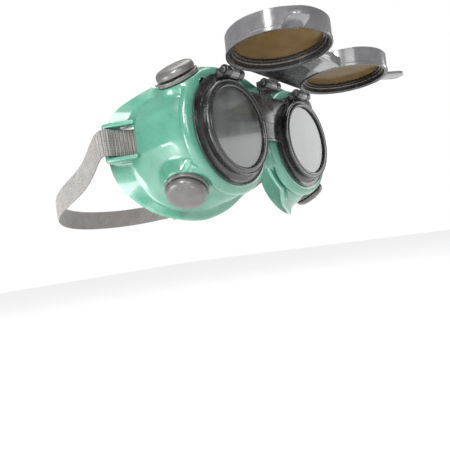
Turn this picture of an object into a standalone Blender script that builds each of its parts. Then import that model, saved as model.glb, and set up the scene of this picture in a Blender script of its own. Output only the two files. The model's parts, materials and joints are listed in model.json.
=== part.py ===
"""Lift-front welding goggles: soft mask, fixed clear lenses, hinged shade cups and head strap.

Frame: metres, +Z up, front of the goggles towards -Y, the wearer's left at +X. The origin lies
midway between the two lens centres, on the front plane of the fixed retaining rings. The flip
front is drawn closed and then raised about its hinge axis, because raised is its rest pose.
"""

import math

import bmesh
import bpy
from mathutils import Matrix, Vector

MM = 0.001
SIDES = {"right": -1, "left": 1}
FIT = 0.3 * MM  # gap kept between pieces that touch
TURN_STEPS = 36

# Eye positions and lenses
EYE_X = 38.15 * MM
LENS_RADIUS = 25.0 * MM
APERTURE_RADIUS = 22.8 * MM

# Fixed retaining ring and the lens pack behind it, depths measured back from the front plane
RING_RADIUS = 27.0 * MM
RING_BORE = 25.4 * MM
RING_LIP = 1.1 * MM
RING_DEPTH = 4.4 * MM
CLEAR_LENS_FRONT = 1.4 * MM
CLEAR_LENS_THICKNESS = 1.8 * MM
GASKET_THICKNESS = 0.9 * MM

# Lens housing: two flared tubes that snap into the mask
SEAT_FRONT = 4.7 * MM
SEAT_BACK = 6.0 * MM
FLARE_RADIUS = 31.8 * MM
FLARE_FRONT = 5.2 * MM
FLARE_BACK = 6.1 * MM
GROOVE_RADIUS = 30.3 * MM
FLANGE_RADIUS = 32.0 * MM
FLANGE_FRONT = 9.1 * MM
HOUSING_BACK = 10.3 * MM
HOUSING_BORE = 28.4 * MM

# Flip front, closed: depths are negative, in front of the fixed rings
FLIP_BACK = -0.6 * MM
CUP_DEPTH = 11.2 * MM
CUP_RADIUS = 27.1 * MM
CUP_RIM_RADIUS = 27.5 * MM
CUP_RIM_DEPTH = 1.8 * MM
CUP_BORE = 25.3 * MM
CUP_LIP = 1.2 * MM
COVER_THICKNESS = 1.3 * MM
SHADE_THICKNESS = 2.6 * MM
SPLIT_RING_DEPTH = 1.4 * MM
RAISED_ANGLE = math.radians(87.4)

# Hinge
HINGE_Y = 0.42 * MM
HINGE_Z = 30.87 * MM
KNUCKLE_RADIUS = 3.1 * MM
PIN_RADIUS = 1.1 * MM
PIN_BORE = 1.35 * MM
MOVING_HALF = 3.2 * MM
EAR_INNER = 3.6 * MM
EAR_OUTER = 7.8 * MM
ARM_INSET = 0.06 * MM  # an arm is this much narrower than its knuckle on each side

# Mask
MASK_WALL = 2.2 * MM
MASK_HOLE = 30.95 * MM
MASK_LIP_FRONT = 6.45 * MM

# Vents
VENT_BASE_RADIUS = 12.0 * MM
VENT_CAP_RADIUS = 11.2 * MM
VENT_STEM_RADIUS = 5.0 * MM
VENT_PAD_RADIUS = 12.5 * MM
VENT_PAD_TOP = 0.6 * MM  # flat pad on the mask, above the vent's reference point

# Strap
STRAP_WIDTH = 15.0 * MM
STRAP_THICKNESS = 1.6 * MM
BAR_X = 84.0 * MM
BAR_Y = 60.5 * MM
BAR_Z = 1.7 * MM
BAR_RADIUS = 1.5 * MM
PLATE_GAP = 17.0 * MM  # between the two plates of a strap loop
PLATE_THICKNESS = 2.4 * MM
WINDOW_FRONT = 47.0 * MM
WINDOW_BACK = 60.0 * MM
SLIDER_SIZE = (5.0 * MM, 12.0 * MM, 20.0 * MM)  # through the strap, along it, across it


# --- scene and object helpers -------------------------------------------------------------

def clear_scene():
    for obj in list(bpy.data.objects):
        bpy.data.objects.remove(obj, do_unlink=True)


def new_collection(name, hidden=False):
    collection = bpy.data.collections.new(name)
    collection.hide_render = hidden
    bpy.context.scene.collection.children.link(collection)
    return collection


def material(name, colour, roughness, metallic=0.0, transmission=0.0):
    made = bpy.data.materials.new(name)
    made.use_nodes = True
    shader = made.node_tree.nodes["Principled BSDF"]
    shader.inputs["Base Color"].default_value = (*colour, 1.0)
    shader.inputs["Roughness"].default_value = roughness
    shader.inputs["Metallic"].default_value = metallic
    shader.inputs["Transmission Weight"].default_value = transmission
    made.diffuse_color = (*colour, 1.0)
    return made


def mesh_object(name, mesh, collection, matter=None):
    obj = bpy.data.objects.new(name, mesh)
    collection.objects.link(obj)
    if matter is not None:
        mesh.materials.clear()
        mesh.materials.append(matter)
    return obj


def bake(obj):
    """Replace the object's mesh by its evaluated one and drop its modifiers."""
    bpy.context.view_layer.update()
    graph = bpy.context.evaluated_depsgraph_get()
    mesh = bpy.data.meshes.new_from_object(obj.evaluated_get(graph))
    obj.modifiers.clear()
    obj.data = mesh
    return obj


def turned(name, outline, collection, matter=None, steps=TURN_STEPS):
    """Turn a closed outline of (radius, height) about Z; its outer side runs downward."""
    mesh = bpy.data.meshes.new(name)
    count = len(outline)
    edges = [(i, (i + 1) % count) for i in range(count)]
    if outline[0][0] == 0.0 and outline[-1][0] == 0.0:
        edges = edges[:-1]
    mesh.from_pydata([(radius, 0.0, height) for radius, height in outline], edges, [])
    obj = mesh_object(name, mesh, collection, matter)
    screw = obj.modifiers.new("turn", "SCREW")
    screw.axis = "Z"
    screw.steps = steps
    screw.render_steps = steps
    screw.use_merge_vertices = True
    screw.merge_threshold = 0.00001
    return bake(obj)


def face_forward(obj, x, y=0.0, z=0.0):
    """Lay an object turned about Z along the lens axis, so that its +Z looks to the front."""
    obj.data.transform(Matrix.Rotation(math.pi / 2, 4, "X"))
    obj.location = (x, y, z)
    return obj


def box(name, low, high, collection):
    """An axis-aligned box between two corners."""
    mesh = bpy.data.meshes.new(name)
    shape = bmesh.new()
    bmesh.ops.create_cube(shape, size=1.0)
    size = [high[i] - low[i] for i in range(3)]
    centre = [(high[i] + low[i]) / 2 for i in range(3)]
    bmesh.ops.scale(shape, vec=size, verts=shape.verts)
    bmesh.ops.translate(shape, vec=centre, verts=shape.verts)
    shape.to_mesh(mesh)
    shape.free()
    return mesh_object(name, mesh, collection)


def rod(name, radius, length, centre, direction, collection, sides=28):
    """A round rod centred on a point, along a direction."""
    mesh = bpy.data.meshes.new(name)
    shape = bmesh.new()
    bmesh.ops.create_cone(shape, cap_ends=True, segments=sides, radius1=radius,
                          radius2=radius, depth=length)
    turn = Vector(direction).to_track_quat("Z", "Y").to_matrix().to_4x4()
    bmesh.ops.transform(shape, matrix=Matrix.Translation(centre) @ turn, verts=shape.verts)
    shape.to_mesh(mesh)
    shape.free()
    return mesh_object(name, mesh, collection)


def boolean(obj, other, operation):
    step = obj.modifiers.new(operation.lower(), "BOOLEAN")
    step.operation = operation
    step.solver = "EXACT"
    step.object = other
    bake(obj)
    other.hide_render = True
    other.display_type = "WIRE"
    return obj


def join(obj, *others):
    for other in others:
        boolean(obj, other, "UNION")
    return obj


def cut(obj, *others):
    for other in others:
        boolean(obj, other, "DIFFERENCE")
    return obj


def soften(obj, angle=35):
    obj.data.shade_smooth()
    obj.data.set_sharp_from_angle(angle=math.radians(angle))
    return obj


# --- fixed lens units -----------------------------------------------------------------------

def make_retaining_ring(side, parts, matter):
    outline = [
        (RING_RADIUS - 0.5 * MM, 0.0),
        (RING_RADIUS, -0.5 * MM),
        (RING_RADIUS, -RING_DEPTH),
        (RING_BORE, -RING_DEPTH),
        (RING_BORE, -RING_LIP),
        (APERTURE_RADIUS, -RING_LIP),
        (APERTURE_RADIUS, 0.0),
    ]
    ring = turned(f"fixed_retaining_ring_{side}", outline, parts, matter, steps=48)
    return soften(face_forward(ring, SIDES[side] * EYE_X))


def disc_outline(radius, front, thickness):
    """Outline of a flat disc with its front face at the given depth."""
    return [(0.0, -front), (radius, -front), (radius, -front - thickness), (0.0, -front - thickness)]


def ring_outline(inner, outer, front, thickness):
    """Outline of a flat ring with its front face at the given depth."""
    back = -front - thickness
    return [(outer, -front), (outer, back), (inner, back), (inner, -front)]


def make_clear_lens(side, parts, matter):
    outline = disc_outline(LENS_RADIUS, CLEAR_LENS_FRONT, CLEAR_LENS_THICKNESS)
    lens = turned(f"clear_lens_{side}", outline, parts, matter)
    return soften(face_forward(lens, SIDES[side] * EYE_X))


def make_lens_gasket(side, parts, matter):
    front = CLEAR_LENS_FRONT + CLEAR_LENS_THICKNESS + 0.2 * MM
    outline = ring_outline(APERTURE_RADIUS, LENS_RADIUS, front, GASKET_THICKNESS)
    gasket = turned(f"lens_gasket_{side}", outline, parts, matter)
    return soften(face_forward(gasket, SIDES[side] * EYE_X))


# --- lens housing -----------------------------------------------------------------------------

def make_tube(side, parts):
    outline = [
        (RING_RADIUS, -SEAT_FRONT),
        (28.6 * MM, -4.9 * MM),
        (30.6 * MM, -FLARE_FRONT + 0.05 * MM),
        (FLARE_RADIUS, -FLARE_FRONT - 0.2 * MM),
        (FLARE_RADIUS, -FLARE_BACK),
        (GROOVE_RADIUS, -FLARE_BACK),
        (GROOVE_RADIUS, -FLANGE_FRONT),
        (FLANGE_RADIUS, -FLANGE_FRONT),
        (FLANGE_RADIUS, -HOUSING_BACK + 0.4 * MM),
        (FLANGE_RADIUS - 0.4 * MM, -HOUSING_BACK),
        (HOUSING_BORE, -HOUSING_BACK),
        (HOUSING_BORE, -SEAT_BACK),
        (APERTURE_RADIUS, -SEAT_BACK),
        (APERTURE_RADIUS, -SEAT_FRONT),
    ]
    tube = turned(f"tube_{side}", outline, parts, steps=48)
    return face_forward(tube, SIDES[side] * EYE_X)


def ear_boxes(centre_x, cutters):
    """The two fixed ears of one hinge: round knuckles, each on an arm down to the housing."""
    pieces = []
    for hand in (-1, 1):
        inner = centre_x + hand * EAR_INNER
        outer = centre_x + hand * EAR_OUTER
        low_x, high_x = sorted((inner, outer))
        middle = ((low_x + high_x) / 2, HINGE_Y, HINGE_Z)
        arm_low = (low_x + ARM_INSET, HINGE_Y, 27.9 * MM)
        arm_high = (high_x - ARM_INSET, 5.8 * MM, 33.2 * MM)
        pieces.append(rod("ear", KNUCKLE_RADIUS, high_x - low_x, middle, (1, 0, 0), cutters))
        pieces.append(box("ear_arm", arm_low, arm_high, cutters))
    return pieces


def make_housing(parts, cutters, matter):
    """Both tubes, the web between them, the centre post and the fixed hinge ears."""
    housing = make_tube("right", parts)
    housing.name = "lens_housing"
    bores = []
    for side, hand in SIDES.items():
        place = (hand * EYE_X, 0.0, 0.0)
        bores.append(rod(f"tube_bore_{side}", 28.0 * MM, 40 * MM, place, (0, 1, 0), cutters, 52))
    web = box("web", (-20 * MM, 4.8 * MM, -3.4 * MM), (20 * MM, 5.9 * MM, 25.6 * MM), cutters)
    spine = box("spine", (-6.0 * MM, 4.4 * MM, 10 * MM), (6.0 * MM, 5.85 * MM, 30 * MM), cutters)
    join(web, spine)
    for centre_x in (-EYE_X, 0.0, EYE_X):
        join(web, *ear_boxes(centre_x, cutters))
    cut(web, *bores)
    join(housing, make_tube("left", cutters), web)
    cut(housing, rod("hinge_bore", PIN_BORE, 120 * MM, (0, HINGE_Y, HINGE_Z), (1, 0, 0), cutters))
    bake(housing)
    housing.data.materials.clear()
    housing.data.materials.append(matter)
    return soften(housing)


def make_hinge_pin(name, centre_x, parts, matter):
    """A headed pin through one hinge, both heads outside the fixed ears."""
    half = EAR_OUTER + 0.3 * MM
    head = 0.8 * MM
    outline = [
        (0.0, half + head),
        (1.3 * MM, half + head),
        (1.9 * MM, half + head / 2),
        (1.9 * MM, half),
        (PIN_RADIUS, half),
        (PIN_RADIUS, -half),
        (1.9 * MM, -half),
        (1.9 * MM, -half - head / 2),
        (1.3 * MM, -half - head),
        (0.0, -half - head),
    ]
    pin = turned(name, outline, parts, matter, steps=12)
    pin.data.transform(Matrix.Rotation(math.pi / 2, 4, "Y"))
    pin.location = (centre_x, HINGE_Y, HINGE_Z)
    return soften(pin)


# --- flip front ---------------------------------------------------------------------------------

def make_cup(side, parts):
    """One shade cup, open to the back, its front lip holding the lens pack."""
    back = -FLIP_BACK
    front = back + CUP_DEPTH
    rim_end = back + CUP_RIM_DEPTH
    outline = [
        (APERTURE_RADIUS, front),
        (CUP_RADIUS - 0.7 * MM, front),
        (CUP_RADIUS, front - 0.7 * MM),
        (CUP_RADIUS, rim_end + 0.3 * MM),
        (CUP_RIM_RADIUS, rim_end),
        (CUP_RIM_RADIUS, back),
        (CUP_BORE, back),
        (CUP_BORE, front - CUP_LIP),
        (APERTURE_RADIUS, front - CUP_LIP),
    ]
    cup = turned(f"cup_{side}", outline, parts, steps=48)
    return face_forward(cup, SIDES[side] * EYE_X)


def make_thumb_tab(side, cutters):
    """A half-round tongue in the plane of the cup's rim, low on the temple side."""
    angle = math.radians(-46.0)
    reach = 33.0 * MM
    half_width = 7.0 * MM
    thickness = CUP_RIM_DEPTH
    tab = box("tab", (24.0 * MM, -half_width, 0.0), (reach, half_width, thickness), cutters)
    tip = rod("tab_tip", half_width, thickness, (reach, 0, thickness / 2), (0, 0, 1), cutters)
    join(tab, tip)
    tab.data.transform(Matrix.Rotation(angle, 4, "Z"))
    tab.data.transform(Matrix.Rotation(math.pi / 2, 4, "X"))
    tab.data.transform(Matrix.Translation((0, FLIP_BACK - 0.1 * MM, 0)))
    if SIDES[side] < 0:
        tab.data.transform(Matrix.Scale(-1, 4, (1, 0, 0)))
        tab.data.flip_normals()
    tab.location = (SIDES[side] * EYE_X, 0, 0)
    return tab


def flip_bores(cutters):
    bores = []
    for side, hand in SIDES.items():
        place = (hand * EYE_X, 0.0, 0.0)
        bores.append(rod(f"cup_bore_{side}", 26.0 * MM, 60 * MM, place, (0, 1, 0), cutters, 52))
    return bores


def make_flip_frame(parts, cutters, matter):
    """Both cups, the bridge plate between them, the thumb tabs and the moving knuckles."""
    frame = make_cup("right", parts)
    frame.name = "flip_frame"
    bridge = box("bridge", (-22 * MM, -3.4 * MM, 3.0 * MM), (22 * MM, -1.0 * MM, 26.6 * MM), cutters)
    block = box("bridge_block", (-14 * MM, -7.0 * MM, -10.5 * MM), (14 * MM, -0.8 * MM, 3.6 * MM),
                cutters)
    join(bridge, block)
    for centre_x in (-EYE_X, 0.0, EYE_X):
        middle = (centre_x, HINGE_Y, HINGE_Z)
        knuckle = rod("knuckle", KNUCKLE_RADIUS, 2 * MOVING_HALF, middle, (1, 0, 0), cutters)
        arm_half = MOVING_HALF - ARM_INSET
        arm = box("knuckle_arm", (centre_x - arm_half, -3.0 * MM, 25.0 * MM),
                  (centre_x + arm_half, -0.9 * MM, HINGE_Z - ARM_INSET), cutters)
        join(bridge, knuckle, arm)
    join(bridge, make_thumb_tab("right", cutters), make_thumb_tab("left", cutters))
    cut(bridge, *flip_bores(cutters))
    join(frame, make_cup("left", cutters), bridge)
    bore_centre = (0, HINGE_Y, HINGE_Z)
    cut(frame, rod("knuckle_bore", PIN_BORE, 120 * MM, bore_centre, (1, 0, 0), cutters))
    frame.data.materials.clear()
    frame.data.materials.append(matter)
    return soften(frame)


def flip_depths():
    """Front depths of the cover lens, the shade lens and the split ring, from front to back."""
    cover = FLIP_BACK - CUP_DEPTH + CUP_LIP + FIT
    shade = cover + COVER_THICKNESS + 0.2 * MM
    split = shade + SHADE_THICKNESS + 0.2 * MM
    return cover, shade, split


def make_split_ring(side, parts, cutters, matter):
    """The sprung ring that holds a lens pack in its cup, open at one gap."""
    depth = flip_depths()[2]
    outline = ring_outline(23.7 * MM, LENS_RADIUS, depth, SPLIT_RING_DEPTH)
    ring = face_forward(turned(f"split_ring_{side}", outline, parts, matter), SIDES[side] * EYE_X)
    x = SIDES[side] * EYE_X
    gap = box("ring_gap", (x - 0.9 * MM, -30 * MM, -30 * MM), (x + 0.9 * MM, 0, -20 * MM), cutters)
    return soften(cut(ring, gap))


def make_flip_lenses(side, parts, clear, shade_matter):
    cover, shade, _ = flip_depths()
    x = SIDES[side] * EYE_X
    cover_lens = turned(f"cover_lens_{side}", disc_outline(LENS_RADIUS, cover, COVER_THICKNESS),
                        parts, clear)
    shade_lens = turned(f"shade_lens_{side}", disc_outline(LENS_RADIUS, shade, SHADE_THICKNESS),
                        parts, shade_matter)
    return [soften(face_forward(lens, x)) for lens in (cover_lens, shade_lens)]


def raise_flip(pieces, parts):
    """Hang the flip front on an empty on the hinge axis and swing it up to its rest pose."""
    axle = bpy.data.objects.new("flip_axle", None)
    parts.objects.link(axle)
    axle.location = (0.0, HINGE_Y, HINGE_Z)
    for piece in pieces:
        piece.parent = axle
        piece.location = piece.location - axle.location
    axle.rotation_euler = (-RAISED_ANGLE, 0.0, 0.0)
    return axle


# --- mask ------------------------------------------------------------------------------------------

def face_edge():
    """Corner points of the mask's outer edge for the left half, from the brow round to the nose."""
    millimetres = [
        (0, 10, 32.5), (12, 9, 34.2), (25, 9.5, 36.6), (38, 11.5, 37.6), (50, 16, 37),
        (60, 25, 33.6), (68, 36, 28.6), (74, 47, 24.3), (77, 57, 20.5), (78, 65, 14),
        (78, 68, 3), (77.5, 68, -8), (76, 66, -18), (73, 60.5, -27.5), (69, 52, -36.5),
        (63.5, 43, -42.8), (56, 34, -46.6), (47, 28, -47.6), (38, 24, -45.3), (30, 21.3, -41.8),
        (24, 18, -37), (19, 15, -32.5), (14, 14, -28.8), (8.5, 13, -24.4), (4, 11.8, -20.6),
        (0, 11, -19),
    ]
    return [Vector(point) * MM for point in millimetres]


def nose_seam():
    """Points of the centre seam, from the nose arch up to the brow; both ends are left out."""
    millimetres = [(0, 9.6, -15), (0, 8.6, -8), (0, 8.2, 0), (0, 8.2, 9), (0, 8.4, 18), (0, 9, 26)]
    return [Vector(point) * MM for point in millimetres]


def smooth(points, per_span):
    """A Catmull-Rom curve through the points, with both end points kept."""
    ends = [points[0] * 2 - points[1], *points, points[-1] * 2 - points[-2]]
    curve = []
    for i in range(1, len(ends) - 2):
        before, start, end, after = ends[i - 1:i + 3]
        for step in range(per_span):
            t = step / per_span
            curve.append(0.5 * (2 * start + (end - before) * t
                                + (2 * before - 5 * start + 4 * end - after) * t ** 2
                                + (3 * start - before - 3 * end + after) * t ** 3))
    curve.append(points[-1])
    return curve


def mask_column(edge, seam):
    """One column of the mask's outer surface, from the lens hole to the face edge."""
    offset = Vector((edge.x - EYE_X, 0, edge.z))
    outward = offset.normalized()
    rings = [(MASK_HOLE, MASK_LIP_FRONT), (33.2 * MM, 6.6 * MM), (35.5 * MM, 7.8 * MM),
             (36.6 * MM, 9.8 * MM), (35.8 * MM, 12.6 * MM)]
    column = [Vector((EYE_X, depth, 0)) + outward * radius for radius, depth in rings]
    start = column[-1]
    if seam:
        shoulder = column[2]
        return column[:3] + [shoulder.lerp(edge, share) for share in (0.2, 0.4, 0.6, 0.8, 1.0)]
    temple = max(0.0, min(1.0, (edge.y / MM - 20) / 40))
    flange_depth = (4.0 + 9.0 * temple) * MM
    crease = edge - outward * (3.6 - 1.2 * temple) * MM - Vector((0, flange_depth, 0))
    crease.y = max(crease.y, start.y + 0.02 * MM)
    middle = start.lerp(crease, 0.5) + outward * 0.6 * MM
    return column + [middle, crease, edge]


def half_mask_surface():
    """The left half of the mask as an open sheet, ready for Mirror and Solidify."""
    edge = smooth(face_edge(), 2)
    seam = nose_seam()
    last = len(edge) - 1
    rims = [(point, i in (0, last)) for i, point in enumerate(edge)]
    rims += [(point, True) for point in seam]
    shape = bmesh.new()
    columns = []
    for point, on_seam in rims:
        columns.append([shape.verts.new(place) for place in mask_column(point, on_seam)])
    for i, column in enumerate(columns):
        following = columns[(i + 1) % len(columns)]
        for j in range(len(column) - 1):
            shape.faces.new((column[j], following[j], following[j + 1], column[j + 1]))
    bmesh.ops.recalc_face_normals(shape, faces=shape.faces)
    mesh = bpy.data.meshes.new("mask")
    shape.to_mesh(mesh)
    shape.free()
    return mesh


def loop_plate(name, low_z, cutters):
    """A triangular plate that carries one end of the strap bar, on the left temple."""
    corners = [(73.6 * MM, 45.0 * MM), (76.0 * MM, 44.8 * MM), (85.2 * MM, 59.4 * MM),
               (85.2 * MM, 61.8 * MM), (83.6 * MM, 62.4 * MM), (75.6 * MM, 65.5 * MM)]
    curve = bpy.data.curves.new(name, "CURVE")
    curve.dimensions = "2D"
    curve.fill_mode = "BOTH"
    curve.extrude = PLATE_THICKNESS / 2
    spline = curve.splines.new("POLY")
    spline.points.add(len(corners) - 1)
    for point, (x, y) in zip(spline.points, corners):
        point.co = (x, y, 0.0, 1.0)
    spline.use_cyclic_u = True
    outline = bpy.data.objects.new(name, curve)
    cutters.objects.link(outline)
    bpy.context.view_layer.update()
    graph = bpy.context.evaluated_depsgraph_get()
    mesh = bpy.data.meshes.new_from_object(outline.evaluated_get(graph))
    bpy.data.objects.remove(outline, do_unlink=True)
    shape = bmesh.new()
    shape.from_mesh(mesh)
    bmesh.ops.remove_doubles(shape, verts=shape.verts, dist=0.00001)
    bmesh.ops.recalc_face_normals(shape, faces=shape.faces)
    bmesh.ops.translate(shape, vec=(0, 0, low_z + PLATE_THICKNESS / 2), verts=shape.verts)
    shape.to_mesh(mesh)
    shape.free()
    return mesh_object(name, mesh, cutters)


def strap_loop(cutters):
    """The left strap loop: two plates and the bar between them."""
    half = PLATE_GAP / 2
    top = loop_plate("loop_top", BAR_Z + half, cutters)
    bottom = loop_plate("loop_bottom", BAR_Z - half - PLATE_THICKNESS, cutters)
    bar = rod("loop_bar", BAR_RADIUS, PLATE_GAP + PLATE_THICKNESS, (BAR_X - 0.3 * MM, BAR_Y, BAR_Z),
              (0, 0, 1), cutters, 16)
    return [top, bottom, bar]


def vent_places():
    """Wall point and outward direction of the left side's two vents."""
    return {
        "lower": (Vector((63.8, 22.5, -29.6)) * MM, Vector((0.50, -0.27, -0.82)).normalized()),
        "upper": (Vector((61.6, 19.5, 28.4)) * MM, Vector((0.58, -0.10, 0.81)).normalized()),
    }


def mirror_x(vector):
    return Vector((-vector.x, vector.y, vector.z))


def make_mask(parts, cutters, matter):
    """The one-piece soft mask with its vent bosses and strap loops."""
    mask = mesh_object("soft_mask", half_mask_surface(), parts)
    mirror = mask.modifiers.new("mirror", "MIRROR")
    mirror.merge_threshold = 0.00005
    wall = mask.modifiers.new("wall", "SOLIDIFY")
    wall.thickness = MASK_WALL
    wall.offset = -1.0
    bake(mask)
    for point, axis in vent_places().values():
        boss = rod("boss", VENT_PAD_RADIUS + 0.5 * MM, 3.8 * MM, point - axis * 0.9 * MM, axis,
                   cutters)
        pocket = rod("pocket", VENT_PAD_RADIUS, 14 * MM, point + axis * (VENT_PAD_TOP + 7 * MM),
                     axis, cutters)
        join(mask, boss)
        cut(mask, pocket)
    low = (70 * MM, WINDOW_FRONT, BAR_Z - PLATE_GAP / 2 + 0.1 * MM)
    high = (82 * MM, WINDOW_BACK, BAR_Z + PLATE_GAP / 2 - 0.1 * MM)
    cut(mask, box("window", low, high, cutters))
    join(mask, *strap_loop(cutters))
    for point, axis in vent_places().values():
        cut(mask, rod("vent_hole", VENT_STEM_RADIUS + FIT, 20 * MM, point, axis, cutters, 24))
    halves = mask.modifiers.new("halves", "MIRROR")
    halves.use_bisect_axis[0] = True
    halves.merge_threshold = 0.00001
    bake(mask)
    mask.data.materials.clear()
    mask.data.materials.append(matter)
    return soften(mask, 40)


# --- vents --------------------------------------------------------------------------------------------

def make_vent(name, place, outward, parts, base_matter, cap_matter):
    """A button vent: a base ring with a stem through the wall, and a domed cap over it."""
    seat = VENT_PAD_TOP + FIT
    base_top = seat + 2.2 * MM
    base_outline = [
        (VENT_BASE_RADIUS - 0.4 * MM, base_top),
        (VENT_BASE_RADIUS, base_top - 0.4 * MM),
        (VENT_BASE_RADIUS, seat),
        (VENT_STEM_RADIUS, seat),
        (VENT_STEM_RADIUS, seat - 6.4 * MM),
        (3.3 * MM, seat - 6.4 * MM),
        (3.3 * MM, base_top),
    ]
    low = base_top + 1.1 * MM
    cap_outline = [
        (0.0, low + 4.6 * MM),
        (5.0 * MM, low + 4.4 * MM),
        (8.6 * MM, low + 3.7 * MM),
        (VENT_CAP_RADIUS - 0.5 * MM, low + 2.4 * MM),
        (VENT_CAP_RADIUS, low + 1.1 * MM),
        (VENT_CAP_RADIUS, low),
        (2.9 * MM, low),
        (2.9 * MM, low - 5.0 * MM),
        (0.0, low - 5.0 * MM),
    ]
    base = turned(f"vent_base_{name}", base_outline, parts, base_matter, steps=22)
    cap = turned(f"vent_cap_{name}", cap_outline, parts, cap_matter, steps=22)
    for piece in (base, cap):
        piece.location = place
        piece.rotation_mode = "QUATERNION"
        piece.rotation_quaternion = outward.to_track_quat("Z", "Y")
        soften(piece)
    return base, cap


# --- strap ----------------------------------------------------------------------------------------------

def strap_half_route():
    """Centre points of the strap from inside the left temple round to the back of the head."""
    millimetres = [
        (70.0, 37, 1.7), (70.2, 43, 1.7), (72.2, 49.3, 1.7), (76.8, 54.6, 1.7), (81.2, 57.2, 1.7),
        (84.8, 57.3, 1.7), (87.0, 60.0, 1.6), (86.9, 64, 1.0), (86.0, 70, -2.0), (84.8, 77, -6.5),
        (83.2, 86, -10.8), (81.6, 96, -13.8), (78.8, 111, -16.6), (74.8, 126, -18.6),
        (69.2, 141, -20.4), (61.2, 156, -22.0), (49.8, 170, -23.6), (35.2, 181.5, -25.0),
        (18.2, 188.6, -25.8), (0.0, 191, -26.0),
    ]
    return [Vector(point) * MM for point in millimetres]


def strap_route():
    """The whole centre line, left temple to right temple."""
    half = strap_half_route()
    whole = half + [mirror_x(point) for point in reversed(half[:-1])]
    return smooth(whole, 2)


def strap_axes(route, i):
    """Directions along, through and across the strap at one point of its route."""
    before = route[max(i - 1, 0)]
    after = route[min(i + 1, len(route) - 1)]
    along = (after - before).normalized()
    through = along.cross(Vector((0, 0, 1))).normalized()
    across = through.cross(along).normalized()
    return along, through, across


def make_strap(parts, matter):
    route = strap_route()
    shape = bmesh.new()
    rows = []
    for i, centre in enumerate(route):
        across = strap_axes(route, i)[2]
        rows.append([shape.verts.new(centre + across * STRAP_WIDTH * share)
                     for share in (-0.5, 0.5)])
    for first, second in zip(rows, rows[1:]):
        shape.faces.new((first[0], second[0], second[1], first[1]))
    mesh = bpy.data.meshes.new("head_strap")
    shape.to_mesh(mesh)
    shape.free()
    strap = mesh_object("head_strap", mesh, parts, matter)
    web = strap.modifiers.new("thickness", "SOLIDIFY")
    web.thickness = STRAP_THICKNESS
    web.offset = 0.0
    return soften(bake(strap), 50)


def make_slider(parts, cutters, matter):
    """The strap adjuster: a flat collar round the strap, behind the wearer's left ear."""
    route = strap_route()
    place = min(range(len(route)), key=lambda i: (route[i] - Vector((0.0612, 0.156, -0.022))).length)
    along, through, across = strap_axes(route, place)
    half = [length / 2 for length in SLIDER_SIZE]
    collar = box("strap_slider", [-length for length in half], half, parts)
    slot_half = (STRAP_THICKNESS / 2 + 0.55 * MM, 20 * MM, STRAP_WIDTH / 2 + 0.4 * MM)
    slot = box("slider_slot", [-length for length in slot_half], slot_half, cutters)
    edge = collar.modifiers.new("rounding", "BEVEL")
    edge.width = 0.8 * MM
    edge.segments = 2
    bake(collar)
    cut(collar, slot)
    turn = Matrix((through, along, across)).transposed().to_4x4()
    collar.data.transform(Matrix.Translation(route[place]) @ turn)
    collar.data.materials.clear()
    collar.data.materials.append(matter)
    return soften(collar)


# --- the whole object ---------------------------------------------------------------------------------

def make_materials():
    return {
        "vinyl": material("green_vinyl", (0.10, 0.42, 0.28), 0.28),
        "black": material("black_plastic", (0.025, 0.025, 0.028), 0.25),
        "grey": material("grey_plastic", (0.12, 0.12, 0.12), 0.35),
        "rubber": material("gasket_rubber", (0.02, 0.02, 0.02), 0.7),
        "clear": material("clear_glass", (0.9, 0.93, 0.9), 0.03, transmission=0.9),
        "shade": material("shade_glass", (0.10, 0.07, 0.03), 0.03, transmission=0.5),
        "webbing": material("grey_webbing", (0.22, 0.21, 0.20), 0.85),
        "steel": material("pin_steel", (0.45, 0.45, 0.46), 0.35, metallic=1.0),
        "spring": material("spring_wire", (0.20, 0.17, 0.14), 0.4, metallic=0.6),
    }


def make_fixed_side(side, parts, matter):
    make_retaining_ring(side, parts, matter["black"])
    make_clear_lens(side, parts, matter["clear"])
    make_lens_gasket(side, parts, matter["rubber"])
    for height, (place, outward) in vent_places().items():
        if SIDES[side] < 0:
            place, outward = mirror_x(place), mirror_x(outward)
        make_vent(f"{height}_{side}", place, outward, parts, matter["grey"], matter["grey"])


def make_flip(parts, cutters, matter):
    pieces = [make_flip_frame(parts, cutters, matter["black"])]
    for side in SIDES:
        pieces += make_flip_lenses(side, parts, matter["clear"], matter["shade"])
        pieces.append(make_split_ring(side, parts, cutters, matter["spring"]))
    raise_flip(pieces, parts)


def main():
    clear_scene()
    parts = new_collection("welding_goggles")
    cutters = new_collection("cutters", hidden=True)
    matter = make_materials()
    make_housing(parts, cutters, matter["black"])
    make_mask(parts, cutters, matter["vinyl"])
    for side in SIDES:
        make_fixed_side(side, parts, matter)
    for name, centre_x in (("right", -EYE_X), ("centre", 0.0), ("left", EYE_X)):
        make_hinge_pin(f"hinge_pin_{name}", centre_x, parts, matter["steel"])
    make_flip(parts, cutters, matter)
    make_strap(parts, matter["webbing"])
    make_slider(parts, cutters, matter["grey"])


main()
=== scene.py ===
import json
import math

import bmesh
import bpy
from mathutils import Matrix, Vector, noise

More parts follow.
